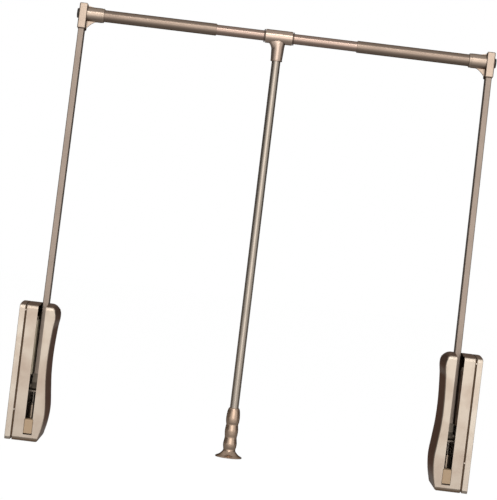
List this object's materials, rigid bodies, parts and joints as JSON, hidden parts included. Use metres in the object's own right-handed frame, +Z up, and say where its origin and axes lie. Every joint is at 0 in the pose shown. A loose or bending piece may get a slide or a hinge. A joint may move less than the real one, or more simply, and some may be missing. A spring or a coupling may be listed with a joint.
{
  "type": "pull-down wardrobe rod",
  "caption": "Pull-down wardrobe rod: telescopic bar on two arms that swing down from sprung, damped side units, with a pull handle hanging from a tee.",
  "frame": {"origin": "where the arms' swing axis meets the left cabinet wall, on the left base shell's flat outer face", "axes": "+X along the bar from the left wall to the right wall, +Y from the door to the back of the cabinet, +Z up"},
  "size_m": [0.932, 0.1447, 0.8941],
  "materials": {
    "cover_plastic": "satin champagne lacquer over moulded plastic",
    "base_plastic": "satin champagne lacquer, a shade darker",
    "bronze_tube": "satin bronze-plated steel",
    "bright_tube": "bright bronze-plated steel",
    "cast_fitting": "plated die-cast metal",
    "grip_plastic": "plated plastic",
    "steel": "zinc-plated steel",
    "spring_steel": "oiled spring wire",
    "cup_metal": "painted steel",
    "dark_plastic": "satin moulded plastic",
    "nylon": "plain nylon",
    "buffer": "tan moulded buffer",
    "rubber": "matt rubber"
  },
  "bodies": {
    "left_unit": {"left_base_shell": "base_plastic", "left_cover_shell": "cover_plastic", "left_bracket": "steel", "left_upper_wall_screw": "steel", "left_lower_wall_screw": "steel", "left_outer_bush": "nylon", "left_inner_bush": "nylon", "left_pivot_pin": "steel", "left_slot_bumper": "buffer", "left_rest_pad": "rubber", "left_rack_guide": "nylon", "left_spring_cup": "cup_metal", "left_lift_spring": "spring_steel", "left_damper_body": "dark_plastic", "left_damper_clamp": "nylon"},
    "left_rack_body": {"left_rack": "steel", "left_spring_guide": "steel", "left_damper_rod": "steel"},
    "left_arm_frame": {"left_arm_root": "cast_fitting", "left_drive_gear": "steel", "left_arm": "bronze_tube", "left_corner_connector": "cast_fitting", "left_connector_cap": "dark_plastic", "left_connector_screw": "steel", "left_outer_tube": "bronze_tube", "left_tube_lock_screw": "steel"},
    "centre_bar": {"centre_tube": "bright_tube", "left_tee_collar": "dark_plastic", "right_tee_collar": "dark_plastic"},
    "pull_handle": {"handle_tee": "cast_fitting", "tee_screw": "steel", "handle_rod": "bright_tube", "handle_grip": "grip_plastic", "grip_plug": "dark_plastic"},
    "right_arm_frame": {"right_arm_root": "cast_fitting", "right_drive_gear": "steel", "right_arm": "bronze_tube", "right_corner_connector": "cast_fitting", "right_connector_cap": "dark_plastic", "right_connector_screw": "steel", "right_outer_tube": "bronze_tube", "right_tube_lock_screw": "steel"},
    "right_unit": {"right_base_shell": "base_plastic", "right_cover_shell": "cover_plastic", "right_bracket": "steel", "right_upper_wall_screw": "steel", "right_lower_wall_screw": "steel", "right_outer_bush": "nylon", "right_inner_bush": "nylon", "right_pivot_pin": "steel", "right_slot_bumper": "buffer", "right_rest_pad": "rubber", "right_rack_guide": "nylon", "right_spring_cup": "cup_metal", "right_lift_spring": "spring_steel", "right_damper_body": "dark_plastic", "right_damper_clamp": "nylon"},
    "right_rack_body": {"right_rack": "steel", "right_spring_guide": "steel", "right_damper_rod": "steel"}
  },
  "joints": [
    {"name": "arm_swing", "type": "hinge", "parent": "left_unit", "child": "left_arm_frame", "pos_m": [0.045, 0, 0], "axis": [1, 0, 0], "range_deg": [0, 120], "stiffness_Nm_per_rad": 14, "springref_deg": -51.57},
    {"name": "left_width_slide", "type": "slide", "parent": "left_arm_frame", "child": "centre_bar", "axis": [1, 0, 0], "range_m": [-0.05, 0.105]},
    {"name": "right_width_slide", "type": "slide", "parent": "centre_bar", "child": "right_arm_frame", "axis": [1, 0, 0], "range_m": [-0.05, 0.105]},
    {"name": "right_unit_swing", "type": "hinge", "parent": "right_arm_frame", "child": "right_unit", "pos_m": [0.887, 0, 0], "axis": [1, 0, 0], "range_deg": [-120, 0]},
    {"name": "left_rack_slide", "type": "slide", "parent": "left_unit", "child": "left_rack_body", "axis": [0, 0, -1], "range_m": [0, 0.0252], "deforming": ["left_lift_spring"]},
    {"name": "right_rack_slide", "type": "slide", "parent": "right_unit", "child": "right_rack_body", "axis": [0, 0, -1], "range_m": [0, 0.0252], "deforming": ["right_lift_spring"]},
    {"name": "handle_swivel", "type": "hinge", "parent": "centre_bar", "child": "pull_handle", "pos_m": [0.45, 0.06049, 0.76862], "axis": [1, 0, 0], "continuous": true}
  ],
  "couplings": [
    {"joint": "right_unit_swing", "follows": "arm_swing", "ratio": -1},
    {"joint": "left_rack_slide", "follows": "arm_swing", "m_per_rad": 0.012},
    {"joint": "right_rack_slide", "follows": "arm_swing", "m_per_rad": 0.012}
  ]
}
